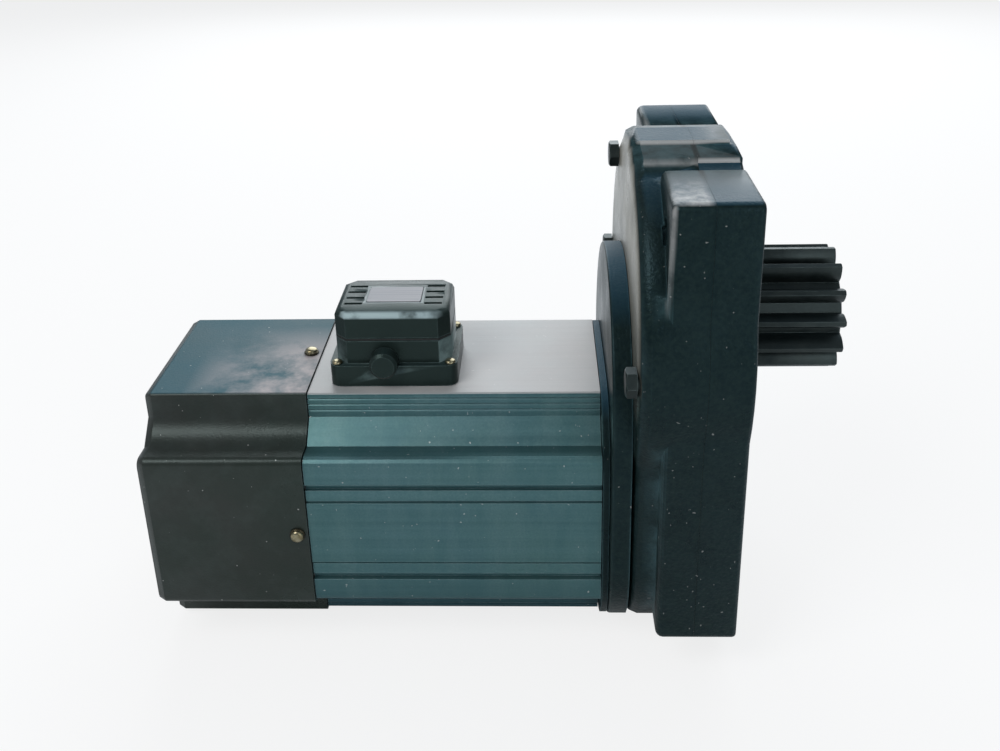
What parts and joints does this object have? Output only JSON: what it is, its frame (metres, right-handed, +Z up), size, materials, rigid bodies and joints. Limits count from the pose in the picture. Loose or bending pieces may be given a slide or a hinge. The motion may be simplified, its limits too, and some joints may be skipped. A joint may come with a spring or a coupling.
{
  "type": "geared servo motor",
  "caption": "Square extruded motor with a rear cover and terminal box, joined to a flat black gear case that lifts the drive to a toothed output pinion.",
  "frame": {"origin": "middle of the bounding box on the plane that the object stands on", "axes": "+X along the shafts from the rear cover to the output pinion, +Z up from the motor axis to the output axis, +Y to the side away from the layshaft"},
  "size_m": [0.3712, 0.193, 0.272],
  "materials": {
    "anodised_aluminium": "satin anodised extrusion",
    "dark_steel": "blackened",
    "copper_winding": "varnished copper",
    "cast_aluminium": "as cast and machined",
    "steel": "ground",
    "black_gloss_paint": "gloss paint on a casting",
    "black_plastic": "moulded, semi-gloss",
    "yellow_zinc": "yellow zinc plated",
    "rubber": "matt",
    "board": "moulded terminal board",
    "brass": "turned"
  },
  "bodies": {
    "housing": {"motor_body": "anodised_aluminium", "stator_core": "dark_steel", "winding_rear": "copper_winding", "winding_front": "copper_winding", "rear_end_shield": "cast_aluminium", "rear_bearing": "steel", "front_flange": "black_gloss_paint", "front_bearing": "steel", "rear_cover": "black_plastic", "cover_screw_top": "yellow_zinc", "cover_screw_near": "yellow_zinc", "cover_screw_bottom": "yellow_zinc", "cover_screw_far": "yellow_zinc", "brake_armature": "steel", "brake_magnet": "dark_steel", "encoder_body": "black_plastic", "lay_bearing_rear": "steel", "lay_bearing_front": "steel", "output_bearing_rear": "steel", "output_bearing_front": "steel", "output_seal": "rubber", "adapter_housing": "black_gloss_paint", "gear_case_inner": "black_gloss_paint", "gear_case_outer": "black_gloss_paint", "case_bolt_far_top": "dark_steel", "case_bolt_far_low": "dark_steel", "case_bolt_near_low": "dark_steel", "terminal_box_base": "black_plastic", "terminal_box_gasket": "rubber", "cable_entry_plug": "black_plastic", "box_screw_near_left": "yellow_zinc", "box_screw_near_right": "yellow_zinc", "box_screw_far_left": "yellow_zinc", "box_screw_far_right": "yellow_zinc", "terminal_board": "board", "terminal_stud_1": "brass", "terminal_stud_2": "brass", "terminal_stud_3": "brass", "terminal_box_lid": "black_plastic", "blank_plate": "cast_aluminium"},
    "motor_rotor": {"rotor_core": "dark_steel", "motor_shaft": "steel", "motor_pinion": "steel", "encoder_disc": "cast_aluminium", "brake_disc": "dark_steel"},
    "layshaft": {"lay_gear": "steel", "lay_shaft": "steel", "lay_pinion": "steel"},
    "output": {"output_gear": "steel", "output_shaft": "steel", "output_pinion": "dark_steel", "pinion_washer": "steel", "pinion_bolt": "steel"}
  },
  "joints": [
    {"name": "output_spin", "type": "hinge", "parent": "housing", "child": "output", "pos_m": [0.12755, 0, 0.1735], "axis": [1, 0, 0], "continuous": true},
    {"name": "layshaft_spin", "type": "hinge", "parent": "housing", "child": "layshaft", "pos_m": [0.08555, -0.03949, 0.0893], "axis": [1, 0, 0], "continuous": true},
    {"name": "rotor_spin", "type": "hinge", "parent": "housing", "child": "motor_rotor", "pos_m": [0, 0, 0.075], "axis": [1, 0, 0], "continuous": true}
  ],
  "couplings": [
    {"joint": "layshaft_spin", "follows": "output_spin", "ratio": -4.1667},
    {"joint": "rotor_spin", "follows": "output_spin", "ratio": 10.417}
  ]
}
